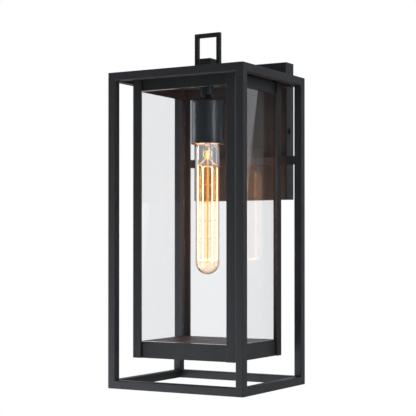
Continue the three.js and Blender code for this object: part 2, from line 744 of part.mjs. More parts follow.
function addWallPlate() {
  const rim = GASKET_THICKNESS + SEAM;
  const halfWidth = PLATE_WIDTH / 2;
  const halfHeight = PLATE_HEIGHT / 2;
  const outline = rectangle(new THREE.Shape(), -halfWidth, -halfHeight, halfWidth, halfHeight);
  const shell = new THREE.ExtrudeGeometry(outline, {
    depth: PLATE_DEPTH - PLATE_EDGE,
    bevelThickness: PLATE_EDGE,
    bevelSize: PLATE_EDGE,
    bevelOffset: -PLATE_EDGE,
    bevelSegments: 3,
  }).rotateX(Math.PI / 2);
  const behind = box([-PLATE_WIDTH, -rim, -PLATE_HEIGHT], [PLATE_WIDTH, PLATE_DEPTH, PLATE_HEIGHT]);
  const hollow = box(
    [PLATE_WALL - halfWidth, PLATE_WALL - PLATE_DEPTH, PLATE_WALL - halfHeight],
    [halfWidth - PLATE_WALL, OVERCUT, halfHeight - PLATE_WALL],
  );
  const wirePort = rodY(GROMMET_HOLE, -PLATE_DEPTH - OVERCUT, 0);
  wirePort.translate(0, 0, lantern.position.z + WIRE_LEVEL);
  const screwPorts = [-1, 1].map((side) =>
    rodY(SCREW_HOLE, -PLATE_DEPTH - OVERCUT, 0).translate(side * PLATE_SCREW_X, 0, CROSSBAR_Z),
  );
  const sidePort = rodX(SCREW_HOLE, -PLATE_WIDTH, PLATE_WIDTH).translate(0, SIDE_SCREW_Y, 0);
  add(part, "wall_plate", cut(shell, behind, hollow, wirePort, ...screwPorts, sidePort), BLACK_METAL);

  const seal = cut(
    box([-halfWidth, -GASKET_THICKNESS, -halfHeight], [halfWidth, 0, halfHeight]),
    box(
      [GASKET_WIDTH - halfWidth, -PLATE_DEPTH, GASKET_WIDTH - halfHeight],
      [halfWidth - GASKET_WIDTH, OVERCUT, halfHeight - GASKET_WIDTH],
    ),
  );
  add(part, "wall_gasket", seal, BLACK_RUBBER);
}

function addStrap() {
  const half = STRAP_HEIGHT / 2;
  const ears = [-1, 1].map((side) => {
    const outer = side * EAR_OUTER;
    const inner = side * (EAR_OUTER - STRAP_THICKNESS);
    const left = Math.min(outer, inner);
    const right = Math.max(outer, inner);
    return box([left, -STRAP_THICKNESS - EAR_LENGTH, -half], [right, 0, half]);
  });
  const back = box([-EAR_OUTER, -STRAP_THICKNESS, -half], [EAR_OUTER, 0, half]);
  const slots = [-1, 1].map((side) => {
    const x = (side * BOX_SCREW_SPACING) / 2;
    return box(
      [x - BOX_SLOT_LENGTH / 2, -STRAP_THICKNESS - OVERCUT, -BOX_SLOT_WIDTH / 2],
      [x + BOX_SLOT_LENGTH / 2, OVERCUT, BOX_SLOT_WIDTH / 2],
    );
  });
  const earHoles = rodX(SCREW_HOLE, -PLATE_WIDTH, PLATE_WIDTH).translate(0, SIDE_SCREW_Y, 0);
  const groundHole = rodY(SCREW_HOLE, -STRAP_THICKNESS - OVERCUT, OVERCUT);
  groundHole.translate(GROUND_SCREW_X, 0, 0);
  add(part, "mounting_strap", cut(join(back, ...ears), ...slots, earHoles, groundHole), ZINC);
}

function addWallFasteners() {
  const quarter = Math.PI / 2;
  for (const [name, side] of [["left", -1], ["right", 1]]) {
    const sideShape = panScrew(SIDE_SCREW_LENGTH);
    const sideScrew = add(part, `side_screw_${name}`, sideShape, BLACK_METAL);
    sideScrew.position.set(side * (PLATE_WIDTH / 2 + SEAM), SIDE_SCREW_Y, 0);
    sideScrew.rotation.y = side * quarter;
    const plateShape = panScrew(PLATE_SCREW_LENGTH);
    const plateScrew = add(part, `plate_screw_${name}`, plateShape, ZINC);
    plateScrew.position.set(side * PLATE_SCREW_X, PLATE_WALL + SEAM - PLATE_DEPTH, CROSSBAR_Z);
    plateScrew.rotation.x = -quarter;
  }
  const ground = add(part, "ground_screw", panScrew(STRAP_THICKNESS), GREEN_ZINC);
  ground.position.set(GROUND_SCREW_X, -STRAP_THICKNESS - SEAM, 0);
  ground.rotation.x = quarter;
}

function addGrommet() {
  const bore = LEAD_SPACING / 2 + LEAD_RADIUS + GAP;
  const outer = GROMMET_HOLE - SEAM;
  const sheet = PLATE_WALL + SEAM;
  const grommet = turned([
    [bore, 0],
    [outer, 0],
    [outer, sheet],
    [outer + GROMMET_FLANGE, sheet],
    [outer + GROMMET_FLANGE, sheet + GROMMET_FLANGE],
    [bore, sheet + GROMMET_FLANGE],
  ], 16);
  const seat = add(part, "wire_grommet", grommet, BLACK_RUBBER);
  seat.rotation.x = -Math.PI / 2;
  seat.position.set(0, SEAM - PLATE_DEPTH, lantern.position.z + WIRE_LEVEL);
}

addOuterPosts();
addRings();
addCrossbar();
addPans();
addCage();
addPanes();
addFinial();
addStem();
addCup();
addLampholder();
addBulbGlass();
addBulbCap();
addBulbStem();
addFilament();
addLeads();
addWallPlate();
addStrap();
addWallFasteners();
addGrommet();

export default part;
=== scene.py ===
"""Outdoor wall lantern: the finished surfaces, the lit bulb, soft studio light and the camera.

Metres, +Z up, the wall towards +Y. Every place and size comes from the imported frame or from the
named values below.
"""
import json
import math

import bmesh
import bpy
from mathutils import Matrix, Quaternion, Vector


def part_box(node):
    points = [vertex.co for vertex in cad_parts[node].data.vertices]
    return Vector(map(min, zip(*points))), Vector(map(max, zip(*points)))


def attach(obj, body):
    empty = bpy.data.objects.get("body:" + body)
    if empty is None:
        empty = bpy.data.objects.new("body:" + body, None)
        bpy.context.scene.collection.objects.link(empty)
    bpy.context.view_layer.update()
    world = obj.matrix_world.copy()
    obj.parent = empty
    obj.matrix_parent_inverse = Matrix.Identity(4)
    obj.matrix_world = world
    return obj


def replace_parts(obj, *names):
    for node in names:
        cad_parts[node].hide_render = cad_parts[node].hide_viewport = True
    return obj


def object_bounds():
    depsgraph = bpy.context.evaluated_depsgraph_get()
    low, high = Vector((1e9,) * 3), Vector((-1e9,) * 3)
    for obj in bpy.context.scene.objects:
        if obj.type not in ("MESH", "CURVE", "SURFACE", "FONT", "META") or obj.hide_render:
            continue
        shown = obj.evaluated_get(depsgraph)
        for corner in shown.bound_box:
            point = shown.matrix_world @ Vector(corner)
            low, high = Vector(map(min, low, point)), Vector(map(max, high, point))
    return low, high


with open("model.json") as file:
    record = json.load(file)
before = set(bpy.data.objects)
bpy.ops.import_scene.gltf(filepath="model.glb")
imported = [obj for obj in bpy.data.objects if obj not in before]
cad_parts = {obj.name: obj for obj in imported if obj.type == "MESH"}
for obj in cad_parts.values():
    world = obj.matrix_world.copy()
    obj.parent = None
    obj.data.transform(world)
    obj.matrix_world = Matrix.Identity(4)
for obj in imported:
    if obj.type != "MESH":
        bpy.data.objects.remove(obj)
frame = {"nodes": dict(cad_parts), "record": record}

MM = 0.001
CAD_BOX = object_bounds()

# ---- Camera ----
VIEW_AZIMUTH = 30.1
VIEW_PITCH = 0.5
VIEW_DISTANCE = 1.484
VIEW_DROP = 0.2094
LENS = 106.4
SENSOR_WIDTH = 36
SHIFT_Y = 0.0725
NEAR_CLIP = 0.05
FAR_CLIP = 60

# ---- Colours ----
BLACK = (0.020, 0.0205, 0.0225)
SATIN_BLACK = (0.022, 0.0235, 0.027)
ZINC = (0.62, 0.63, 0.65)
COOL = (0.9, 0.95, 1.0)
# GLOW, AMBER and SKY are colours of painted light. They give the glow painted on the bulb glass, the stem
# rod and the support wires, which stands for the filament's bloom and its light on them. SKY is also a
# pale blue painted reflection at the top of the bulb.
GLOW = (1.0, 0.62, 0.28)
AMBER = (1.0, 0.5, 0.1)
SKY = (0.72, 0.87, 1.0)
CLEAR = (1.0, 0.99, 0.98)
PALE_PEACH = (1.0, 0.93, 0.84)
DEEP_PEACH = (0.62, 0.38, 0.25)
HOT = (1.0, 0.55, 0.24)
# HONEY is painted filament light in the stem rod's glass colour.
HONEY = (0.9, 0.42, 0.12)
EMBER = (1.0, 0.4, 0.12)
FLOOR_PAINT = (0.85, 0.86, 0.88)

# ---- Brightness ----
AMBIENT = 0.42
ROOM_BRIGHT_SIDE = (-0.707, 0.707, 0.0)
ROOM_STOPS = ((0.0, 0.03), (0.26, 0.12), (0.9, 0.9))
FLOOR_REFLECTED = 0.08
FILAMENT_STRENGTH = 13.0
# SUPPORT_GLOW and the dim share after it set painted glow on the support wires, for the filament's light
# on them.
SUPPORT_GLOW = 2.6
DIM_SUPPORT_GLOW = 0.15
WIRE_END_COOLED = 0.12
FILAMENT_POWER = 0.38
FILAMENT_LIGHTS = (0.1, 0.4, 0.7, 0.95)
# BULB_GLOW, SKY_GLOW and ROD_GLOW set painted light on the bulb and stem glass: the filament's bloom, and
# a pale blue painted reflection at the top.
BULB_GLOW = 0.06
SKY_GLOW = 0.08
ROD_GLOW = 0.25

# ---- Floor and softboxes: angles in degrees, sizes in metres, power in watts ----
FLOOR_DROP = 1.3
FLOOR_HALF = 4.0
SOFTBOXES = (
    {"name": "left_softbox", "azimuth": -78, "elevation": -6, "distance": 1.3,
     "size": (0.5, 1.3), "power": 7.5},
    {"name": "right_softbox", "azimuth": 76, "elevation": 0, "distance": 1.4,
     "size": (0.5, 1.3), "power": 9.0},
    {"name": "low_left_softbox", "azimuth": -50, "elevation": -36, "distance": 0.85,
     "size": (0.9, 0.6), "power": 5.0},
    {"name": "rear_right_softbox", "azimuth": 137.3, "elevation": 0, "distance": 1.3,
     "size": (0.5, 1.2), "power": 1.4, "roll": -6},
)

# ---- Surface detail ----
GLASS_IOR = 1.45
PANE_WAVE = 0.03
BULB_WAVE = 0.02
WAVE_DEPTH = 0.2 * MM
DRAWN_MARKS = (1, 1, 8)

# ---- Edge rounding and section detail ----
TUBE_ROUNDING = 0.9 * MM
WELD_CUT = 1.0 * MM
SHEET_ROUNDING = 0.45 * MM
GLASS_ARRIS = 0.25 * MM
LATHE_SIDES = 96
FLAT_ANGLE = math.radians(0.5)
ROUND_ABOVE = math.radians(40)
BEND_ABOVE = math.radians(50)
FACET_ABOVE = math.radians(60)
CREASE_ANGLE = math.radians(32)
CAGE_ROUNDING = 0.5 * MM
SEAL_ROUNDING = 0.15 * MM
FINIAL_ROUNDING = 0.6 * MM
CONTACT_ROUNDING = 0.12 * MM
NUT_ROUNDING = 0.3 * MM
STUD_ROUNDING = 0.2 * MM
PLATE_ROUNDING = 0.3 * MM
GASKET_ROUNDING = 0.2 * MM
STRAP_ROUNDING = 0.35 * MM

# ---- Stem, cup and lampholder detail ----
SEAT_GAP = 0.3 * MM
SMALL_SIDES = 48
THREAD_STEPS = 6
COLLAR_EDGE = 0.8 * MM
NIPPLE_THREAD = 0.35 * MM
NIPPLE_PITCH = 1.0 * MM
NIPPLE_LAND = 0.5 * MM
NIPPLE_WALL = 1.4 * MM
CUP_WALL = 1.2 * MM
CUP_EDGE = 3.0 * MM
CUP_LIP = 0.5 * MM
HOLDER_LIP = 0.6 * MM
HOLDER_RIM = 0.8 * MM
HOLDER_SHOULDER = 2 * MM
SHELL_WALL = 0.7 * MM
LAMP_THREAD = 0.6 * MM
LAMP_PITCH = 3.63 * MM

# ---- Bulb detail ----
GLASS_WALL = 0.8 * MM
NECK_INSET = 1.4 * MM
SHOULDER_DROP = 8 * MM
CAP_HEM = 0.3 * MM
CAP_LAND = 7.5 * MM
BUTTON_EDGE = 0.5 * MM
ROD = 1.0 * MM
BEAD = 2.2 * MM
PRESS = 3.4 * MM
RUNS = 6
RUN_TURN = math.radians(30)
FILAMENT_WIRE = 0.28 * MM
SUPPORT_WIRE = 0.26 * MM
SUPPORT_RINGS = 4
PRESS_BELOW_CUP = 12 * MM
WIRE_SIDES = 8
LOOPS = 4
LOOP_POINTS = 12
LOOP_TURN = 0.3
LOOP_REACH = 2.9 * MM
LOOP_WIDTH = 2.3 * MM
LOOP_HEIGHT = 4.2 * MM

# ---- Screw and wire nut detail ----
SCREW_HEAD = 2.0 * MM
SCREW_SHANK = 2.0 * MM
SCREW_THREAD = 0.3 * MM
SCREW_PITCH = 0.7 * MM
HEAD_RIM = 0.7 * MM
HEAD_EDGE = 1.3 * MM
RECESS_LENGTH = 4.0 * MM
RECESS_WIDTH = 0.9 * MM
RECESS_DEPTH = 2 * MM
NUT_TAPER = 0.62
NUT_TIP = 0.8 * MM
NUT_BORE = 1.3 * MM
NUT_BORE_DEPTH = 5.5 * MM

RECORD = frame["record"]
BODY_OF = {node: body for body, nodes in RECORD["behaviour"]["bodies"].items() for node in nodes}
SLOT_OF = {row["node"]: row["material_slot"] for row in RECORD["subparts"]}
CORNERS = ("front_left", "front_right", "rear_right", "rear_left")
SIDES = ("front", "right", "rear", "left")


def middle(node):
    low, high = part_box(node)
    return (low + high) / 2


AXIS = middle("socket_cup")


# ---- Camera, floor and light ----

def add_camera():
    """Below the middle of the lantern, to its right, looking very slightly up."""
    data = bpy.data.cameras.new("camera")
    camera = bpy.data.objects.new("camera", data)
    bpy.context.scene.collection.objects.link(camera)
    turn = math.radians(VIEW_AZIMUTH)
    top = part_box("roof_pan")[1].z
    away = Vector((math.sin(turn), -math.cos(turn), 0)) * VIEW_DISTANCE
    camera.location = Vector((AXIS.x, AXIS.y, top - VIEW_DROP)) + away
    camera.rotation_euler = (math.radians(90 + VIEW_PITCH), 0, turn)
    data.sensor_width = SENSOR_WIDTH
    data.lens = LENS
    data.shift_y = SHIFT_Y
    data.clip_start = NEAR_CLIP
    data.clip_end = FAR_CLIP
    bpy.context.scene.camera = camera


def calculated(nodes, links, operation, first, second):
    """A Math node; each input is a socket or a number."""
    node = nodes.new("ShaderNodeMath")
    node.operation = operation
    for socket, value in zip(node.inputs, (first, second)):
        if isinstance(value, (int, float)):
            socket.default_value = value
        else:
            links.new(value, socket)
    return node.outputs[0]


def by_ray(nodes, links, seen, reflected, otherwise, output):
    """Plain white directly or through glass, one look in reflections, and another as a light."""
    path = nodes.new("ShaderNodeLightPath").outputs
    through = calculated(nodes, links, "MAXIMUM", path["Is Camera Ray"], path["Is Transmission Ray"])
    bounces = calculated(nodes, links, "ADD", path["Glossy Depth"], path["Diffuse Depth"])
    straight = calculated(nodes, links, "LESS_THAN", bounces, 0.5)
    direct = calculated(nodes, links, "MULTIPLY", through, straight)
    mirrored = calculated(nodes, links, "GREATER_THAN", path["Glossy Depth"], 0.5)
    gloss = nodes.new("ShaderNodeMixShader")
    view = nodes.new("ShaderNodeMixShader")
    links.new(mirrored, gloss.inputs[0])
    links.new(otherwise.outputs[0], gloss.inputs[1])
    links.new(reflected.outputs[0], gloss.inputs[2])
    links.new(direct, view.inputs[0])
    links.new(gloss.outputs[0], view.inputs[1])
    links.new(seen.outputs[0], view.inputs[2])
    links.new(view.outputs[0], output.inputs["Surface"])


def add_world():
    """White to look at. Reflections see a dark room in front and a bright one behind, to the left."""
    world = bpy.data.worlds.new("studio")
    bpy.context.scene.world = world
    world.use_nodes = True
    nodes, links = world.node_tree.nodes, world.node_tree.links
    nodes.clear()
    output = nodes.new("ShaderNodeOutputWorld")
    white = nodes.new("ShaderNodeBackground")
    white.inputs["Color"].default_value = (1, 1, 1, 1)
    ambient = nodes.new("ShaderNodeBackground")
    ambient.inputs["Color"].default_value = (*COOL, 1)
    ambient.inputs["Strength"].default_value = AMBIENT
    room = nodes.new("ShaderNodeBackground")
    place = nodes.new("ShaderNodeTexCoord")
    facing = nodes.new("ShaderNodeVectorMath")
    facing.operation = "DOT_PRODUCT"
    facing.inputs[1].default_value = ROOM_BRIGHT_SIDE
    links.new(place.outputs["Generated"], facing.inputs[0])
    stops = nodes.new("ShaderNodeValToRGB")
    while len(stops.color_ramp.elements) < len(ROOM_STOPS):
        stops.color_ramp.elements.new(0.5)
    for element, (position, level) in zip(stops.color_ramp.elements, ROOM_STOPS):
        element.position = position
        element.color = (*shade(COOL, level), 1)
    links.new(facing.outputs["Value"], stops.inputs["Fac"])
    links.new(stops.outputs["Color"], room.inputs["Color"])
    by_ray(nodes, links, white, room, ambient, output)


def add_floor():
    """A pale floor below the lantern, lit to plain white."""
    half = FLOOR_HALF
    level = CAD_BOX[0].z - FLOOR_DROP
    mesh = bpy.data.meshes.new("floor")
    corners = [(-half, -half, level), (half, -half, level), (half, half, level), (-half, half, level)]
    mesh.from_pydata(corners, [], [(0, 1, 2, 3)])
    floor = bpy.data.objects.new("floor", mesh)
    bpy.context.scene.collection.objects.link(floor)
    material = bpy.data.materials.new("floor_white")
    material.use_nodes = True
    nodes, links = material.node_tree.nodes, material.node_tree.links
    nodes.clear()
    output = nodes.new("ShaderNodeOutputMaterial")
    glow = nodes.new("ShaderNodeEmission")
    dim = nodes.new("ShaderNodeEmission")
    dim.inputs["Strength"].default_value = FLOOR_REFLECTED
    paint = nodes.new("ShaderNodeBsdfDiffuse")
    paint.inputs["Color"].default_value = (*FLOOR_PAINT, 1)
    by_ray(nodes, links, glow, dim, paint, output)
    mesh.materials.append(material)


def add_softbox(name, azimuth, elevation, distance, size, power, roll=0):
    """A soft rectangular light round the lantern. Azimuth 0 is in front of it and 90 to its right."""
    data = bpy.data.lights.new(name, "AREA")
    data.shape = "RECTANGLE"
    data.size, data.size_y = size
    data.energy = power
    data.color = COOL
    light = bpy.data.objects.new(name, data)
    bpy.context.scene.collection.objects.link(light)
    turn, rise = math.radians(azimuth), math.radians(elevation)
    out = Vector((math.sin(turn) * math.cos(rise), -math.cos(turn) * math.cos(rise), math.sin(rise)))
    target = (CAD_BOX[0] + CAD_BOX[1]) / 2
    light.location = target + out * distance
    tilt = Quaternion((0, 0, 1), math.radians(roll))
    light.rotation_euler = (out.to_track_quat("Z", "Y") @ tilt).to_euler()
    light.visible_camera = False


# ---- Materials ----

def blank_material(name):
    material = bpy.data.materials.new(name)
    material.use_nodes = True
    tree = material.node_tree
    return material, tree.nodes, tree.links, tree.nodes["Principled BSDF"]


def object_noise(nodes, links, scale, detail=3.0, stretch=(1, 1, 1)):
    """Noise in the piece's own coordinates, its features about 1/scale metres across."""
    place = nodes.new("ShaderNodeTexCoord")
    mapping = nodes.new("ShaderNodeMapping")
    mapping.inputs["Scale"].default_value = stretch
    noise = nodes.new("ShaderNodeTexNoise")
    noise.inputs["Scale"].default_value = scale
    noise.inputs["Detail"].default_value = detail
    links.new(place.outputs["Object"], mapping.inputs["Vector"])
    links.new(mapping.outputs["Vector"], noise.inputs["Vector"])
    return noise.outputs["Fac"]


def ramp(nodes, links, value, low, high, start=0.3, end=0.7):
    """A colour that goes from low to high as value goes from start to end."""
    node = nodes.new("ShaderNodeValToRGB")
    node.color_ramp.elements[0].position = start
    node.color_ramp.elements[1].position = end
    node.color_ramp.elements[0].color = (*low, 1)
    node.color_ramp.elements[1].color = (*high, 1)
    links.new(value, node.inputs["Fac"])
    return node.outputs["Color"]


def spread(nodes, links, value, low, high):
    """A number that goes from low to high as value goes from 0.3 to 0.7."""
    node = nodes.new("ShaderNodeMapRange")
    node.inputs["From Min"].default_value = 0.3
    node.inputs["From Max"].default_value = 0.7
    node.inputs["To Min"].default_value = low
    node.inputs["To Max"].default_value = high
    links.new(value, node.inputs["Value"])
    return node.outputs["Result"]


def bump(nodes, links, shader, height, strength, distance, under=None):
    node = nodes.new("ShaderNodeBump")
    node.inputs["Strength"].default_value = strength
    node.inputs["Distance"].default_value = distance
    links.new(height, node.inputs["Height"])
    if under is not None:
        links.new(under, node.inputs["Normal"])
    links.new(node.outputs["Normal"], shader.inputs["Normal"])
    return node.outputs["Normal"]


def shade(colour, factor):
    return tuple(channel * factor for channel in colour)


def powder_coat(name, colour, roughness, grain=0.35):
    """Fine-textured paint: a grain of about 0.4 mm over a faint orange peel, in two close tones."""
    material, nodes, links, shader = blank_material(name)
    tone = object_noise(nodes, links, 700, detail=4)
    tint = ramp(nodes, links, tone, shade(colour, 0.82), shade(colour, 1.2))
    links.new(tint, shader.inputs["Base Color"])
    patch = object_noise(nodes, links, 60)
    links.new(spread(nodes, links, patch, roughness - 0.05, roughness + 0.05), shader.inputs["Roughness"])
    peel = bump(nodes, links, shader, object_noise(nodes, links, 420, detail=2), 0.12, 0.2 * MM)
    bump(nodes, links, shader, object_noise(nodes, links, 2400, detail=2), grain, 0.12 * MM, peel)
    shader.inputs["Specular IOR Level"].default_value = 0.45
    return material


def satin_paint(name, colour, roughness):
    """Smooth satin paint with a very shallow orange peel."""
    material, nodes, links, shader = blank_material(name)
    tone = object_noise(nodes, links, 150, detail=3)
    tint = ramp(nodes, links, tone, shade(colour, 0.9), shade(colour, 1.1))
    links.new(tint, shader.inputs["Base Color"])
    links.new(spread(nodes, links, tone, roughness - 0.03, roughness + 0.04), shader.inputs["Roughness"])
    bump(nodes, links, shader, object_noise(nodes, links, 900, detail=2), 0.06, 0.1 * MM)
    return material


def plated(name, colour, roughness):
    """Plated metal with fine drawn marks and slightly uneven brightness."""
    material, nodes, links, shader = blank_material(name)
    marks = object_noise(nodes, links, 900, detail=4, stretch=DRAWN_MARKS)
    tint = ramp(nodes, links, marks, shade(colour, 0.85), shade(colour, 1.05))
    links.new(tint, shader.inputs["Base Color"])
    links.new(spread(nodes, links, marks, roughness - 0.06, roughness + 0.08), shader.inputs["Roughness"])
    shader.inputs["Metallic"].default_value = 1.0
    bump(nodes, links, shader, marks, 0.08, 0.05 * MM)
    return material


def moulded(name, colour, roughness, peel=0.08):
    """Moulded plastic, rubber or glazed porcelain."""
    material, nodes, links, shader = blank_material(name)
    tone = object_noise(nodes, links, 240, detail=3)
    tint = ramp(nodes, links, tone, shade(colour, 0.88), shade(colour, 1.06))
    links.new(tint, shader.inputs["Base Color"])
    links.new(spread(nodes, links, tone, roughness - 0.04, roughness + 0.05), shader.inputs["Roughness"])
    bump(nodes, links, shader, object_noise(nodes, links, 1200, detail=2), peel, 0.1 * MM)
    return material


def by_height(nodes, links, stops):
    """A colour that changes with height: stops are (level, colour), lowest first."""
    place = nodes.new("ShaderNodeTexCoord")
    axes = nodes.new("ShaderNodeSeparateXYZ")
    links.new(place.outputs["Object"], axes.inputs[0])
    low, high = stops[0][0], stops[-1][0]
    share = nodes.new("ShaderNodeMapRange")
    share.inputs["From Min"].default_value = low
    share.inputs["From Max"].default_value = high
    links.new(axes.outputs["Z"], share.inputs["Value"])
    levels = nodes.new("ShaderNodeValToRGB")
    while len(levels.color_ramp.elements) < len(stops):
        levels.color_ramp.elements.new(0.5)
    for element, (level, colour) in zip(levels.color_ramp.elements, stops):
        element.position = (level - low) / (high - low)
        element.color = (*colour, 1)
    links.new(share.outputs["Result"], levels.inputs["Fac"])
    return levels.outputs["Color"]


def glass(name, colour, wave, glow=None, rim=None, painted_tint=None):
    """Clear glass that lets lamp light through. glow is light painted on the glass by height, and the
    tint by height is painted filament light in its colour.

    rim is its tint where it is seen edge on.
    """
    material, nodes, links, shader = blank_material(name)
    shader.inputs["Base Color"].default_value = (*colour, 1)
    if rim:
        edge = nodes.new("ShaderNodeLayerWeight")
        edge.inputs["Blend"].default_value = 0.3
        tint = ramp(nodes, links, edge.outputs["Facing"], colour, rim, 0.2, 0.6)
        links.new(tint, shader.inputs["Base Color"])
    shader.inputs["Roughness"].default_value = 0.0
    shader.inputs["IOR"].default_value = GLASS_IOR
    shader.inputs["Transmission Weight"].default_value = 1.0
    bump(nodes, links, shader, object_noise(nodes, links, 18, detail=1), wave, WAVE_DEPTH)
    # Painted filament light: the glass colour changes by height.
    if painted_tint:
        links.new(by_height(nodes, links, painted_tint), shader.inputs["Base Color"])
    # Painted light: emission on the glass by height.
    if glow:
        shader.inputs["Emission Strength"].default_value = 1.0
        links.new(by_height(nodes, links, glow), shader.inputs["Emission Color"])
    path = nodes.new("ShaderNodeLightPath")
    clear = nodes.new("ShaderNodeBsdfTransparent")
    clear.inputs["Color"].default_value = (*shade(colour, 0.95), 1)
    mix = nodes.new("ShaderNodeMixShader")
    links.new(path.outputs["Is Shadow Ray"], mix.inputs[0])
    links.new(shader.outputs[0], mix.inputs[1])
    links.new(clear.outputs[0], mix.inputs[2])
    links.new(mix.outputs[0], nodes["Material Output"].inputs["Surface"])
    return material


def glowing(name, strength, colours_by_height):
    """Wire that gives off light, with its colour by height, and some stretches brighter than others. On
    the filament this is its own incandescence, hotter on some stretches. On the support wires it is
    painted glow for the filament's light on them.
    """
    material, nodes, links, shader = blank_material(name)
    shader.inputs["Base Color"].default_value = (0.2, 0.08, 0.02, 1)
    patch = object_noise(nodes, links, 120, detail=2)
    links.new(spread(nodes, links, patch, 0.7 * strength, strength), shader.inputs["Emission Strength"])
    links.new(by_height(nodes, links, colours_by_height), shader.inputs["Emission Color"])
    return material


def make_materials():
    wire_low, wire_high = (corner.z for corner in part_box("bulb_filament"))
    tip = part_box("bulb_glass")[0].z
    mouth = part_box("socket_cup")[0].z
    # Painted light on the bulb glass: a warm glow round the filament (painted bloom) that fades towards
    # the tip, and pale blue above it (painted reflection).
    warm, cool, amber = shade(GLOW, BULB_GLOW), shade(SKY, SKY_GLOW), shade(AMBER, ROD_GLOW)
    bulb_glow = [(tip, shade(warm, 0.35)), (wire_low, shade(warm, 0.9)), (wire_low + 12 * MM, warm),
                 (wire_high - 6 * MM, warm), (wire_high + 3 * MM, cool), (mouth, cool)]
    # Painted light on the stem rod: amber glow at the filament's height, a faint blue above it, and none
    # near the cup.
    rod_glow = [(wire_low - 2 * MM, amber), (wire_high, amber), (wire_high + 8 * MM, shade(cool, 0.5)),
                (mouth + 10 * MM, (0, 0, 0))]
    # Painted filament light in the rod's glass colour: honey at the filament's height, clear above.
    rod_painted_tint = [(wire_low - 2 * MM, HONEY), (wire_high, HONEY), (wire_high + 8 * MM, CLEAR)]
    # Painted glow for the support wires. It is dim below the top of the filament and amber from there up
    # to the press, and stands for the filament's light on them.
    dull = shade(AMBER, DIM_SUPPORT_GLOW)
    hook_painted_glow = [(tip, dull), (wire_high - 4 * MM, dull), (wire_high, AMBER), (mouth, AMBER)]
    wire_heat = [(wire_low, HOT), (wire_high - 6 * MM, HOT), (wire_high, shade(HOT, WIRE_END_COOLED))]
    return {
        "outer_frame": powder_coat("black_powder_coat", BLACK, 0.55),
        "roof": powder_coat("black_powder_coat_roof", BLACK, 0.5, 0.25),
        "cage": powder_coat("black_powder_coat_cage", BLACK, 0.52, 0.3),
        "seal": moulded("black_silicone", (0.012, 0.012, 0.012), 0.75, 0.15),
        "pane_glass": glass("clear_pane", (0.985, 0.992, 1.0), PANE_WAVE),
        "finial": powder_coat("black_powder_coat_finial", BLACK, 0.5, 0.25),
        "zinc": plated("bright_zinc", ZINC, 0.32),
        "socket": satin_paint("black_satin", SATIN_BLACK, 0.33),
        "porcelain": moulded("glazed_porcelain", (0.82, 0.79, 0.72), 0.18),
        "brass": plated("bright_brass", (0.75, 0.55, 0.25), 0.28),
        "bulb_glass": glass("bulb_glass_lit", PALE_PEACH, BULB_WAVE, glow=bulb_glow, rim=DEEP_PEACH),
        "stem_glass": glass("stem_glass_lit", CLEAR, BULB_WAVE, glow=rod_glow, painted_tint=rod_painted_tint),
        "bulb_cap": plated("nickel", (0.68, 0.65, 0.6), 0.25),
        "insulator": moulded("black_glass_insulator", (0.015, 0.015, 0.017), 0.15),
        "filament": glowing("hot_filament", FILAMENT_STRENGTH, wire_heat),
        # The support wires glow with painted light, standing for the filament's light on them.
        "supports": glowing("lit_supports", SUPPORT_GLOW, hook_painted_glow),
        "lead_black": moulded("black_insulation", (0.02, 0.02, 0.02), 0.45),
        "lead_white": moulded("white_insulation", (0.8, 0.8, 0.76), 0.45),
        "wall_plate": powder_coat("black_powder_coat_plate", BLACK, 0.55),
        "side_screw": satin_paint("black_screw", BLACK, 0.4),
        "ground_green": plated("green_plating", (0.06, 0.32, 0.14), 0.35),
    }


# ---- Mesh helpers ----

def add_piece(name, shape, nodes, material=None):
    """Links the bmesh as a piece that rides with the first CAD node's body."""
    mesh = bpy.data.meshes.new(name)
    bmesh.ops.recalc_face_normals(shape, faces=shape.faces)
    shape.to_mesh(mesh)
    shape.free()
    mesh.polygons.foreach_set("use_smooth", [True] * len(mesh.polygons))
    mesh.set_sharp_from_angle(angle=CREASE_ANGLE)
    piece = bpy.data.objects.new(name, mesh)
    bpy.context.scene.collection.objects.link(piece)
    mesh.materials.append(material or MATERIALS[SLOT_OF[nodes[0]]])
    even = piece.modifiers.new("even_normals", "WEIGHTED_NORMAL")
    even.keep_sharp = True
    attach(piece, BODY_OF[nodes[0]])
    return piece


def stand_for(name, shape, *nodes, **options):
    """A piece that is shown instead of the CAD nodes."""
    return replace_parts(add_piece(name, shape, nodes, **options), *nodes)


def round_edges(shape, width, segments=3, above=ROUND_ABOVE):
    """Rounds every edge whose faces meet at more than the given angle."""
    edges = [e for e in shape.edges if len(e.link_faces) == 2 and e.calc_face_angle(0) > above]
    bmesh.ops.bevel(
        shape, geom=edges, offset=width, segments=segments, profile=0.5,
        affect="EDGES", clamp_overlap=True, offset_type="OFFSET",
    )


def refined(node, width, segments=3, above=ROUND_ABOVE):
    """The CAD node's own shape with its flat faces made whole and its edges rounded."""
    shape = bmesh.new()
    shape.from_mesh(frame["nodes"][node].data)
    bmesh.ops.remove_doubles(shape, verts=shape.verts, dist=1e-6)
    bmesh.ops.dissolve_limit(shape, angle_limit=FLAT_ANGLE, verts=shape.verts, edges=shape.edges)
    if width > 0:
        round_edges(shape, width, segments, above)
    return stand_for(f"{node}_finished", shape, node)


def arc(centre_radius, centre_level, radius, start, end, steps=10):
    """Points of an arc of a section, in (radius, level) form; angles in degrees."""
    points = []
    for i in range(steps + 1):
        angle = math.radians(start + (end - start) * i / steps)
        points.append((centre_radius + radius * math.cos(angle), centre_level + radius * math.sin(angle)))
    return points


